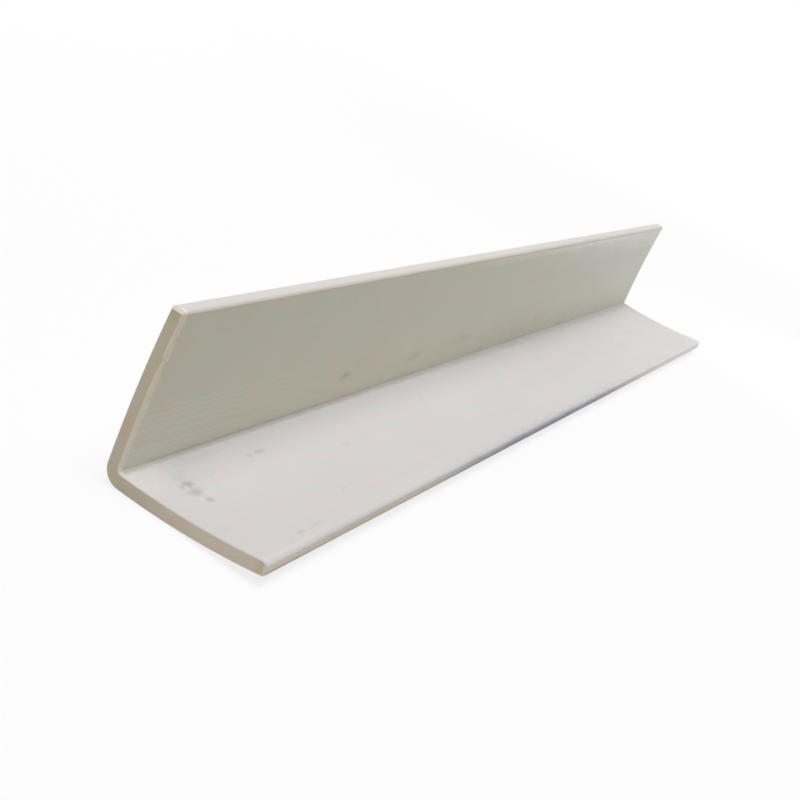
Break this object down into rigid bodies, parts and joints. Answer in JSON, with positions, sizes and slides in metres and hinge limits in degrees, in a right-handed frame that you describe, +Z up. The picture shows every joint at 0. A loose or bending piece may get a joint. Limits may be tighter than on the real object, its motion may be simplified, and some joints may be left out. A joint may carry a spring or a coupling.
{
  "type": "pvc corner angle",
  "caption": "Extruded PVC corner angle with two equal, slightly bowed legs, a rounded outer corner and sawn ends, for lining and trimming corners.",
  "frame": {"origin": "on the floor, under the middle of the part's box", "axes": "+Y runs along the length to the far end, +X along the lower leg to its tip, +Z up the upright leg"},
  "size_m": [0.0518, 0.5, 0.0503],
  "materials": {
    "pvc": "off-white extruded PVC, satin, with faint die lines along its length"
  },
  "bodies": {
    "root": {"corner_angle": "pvc"}
  },
  "joints": []
}
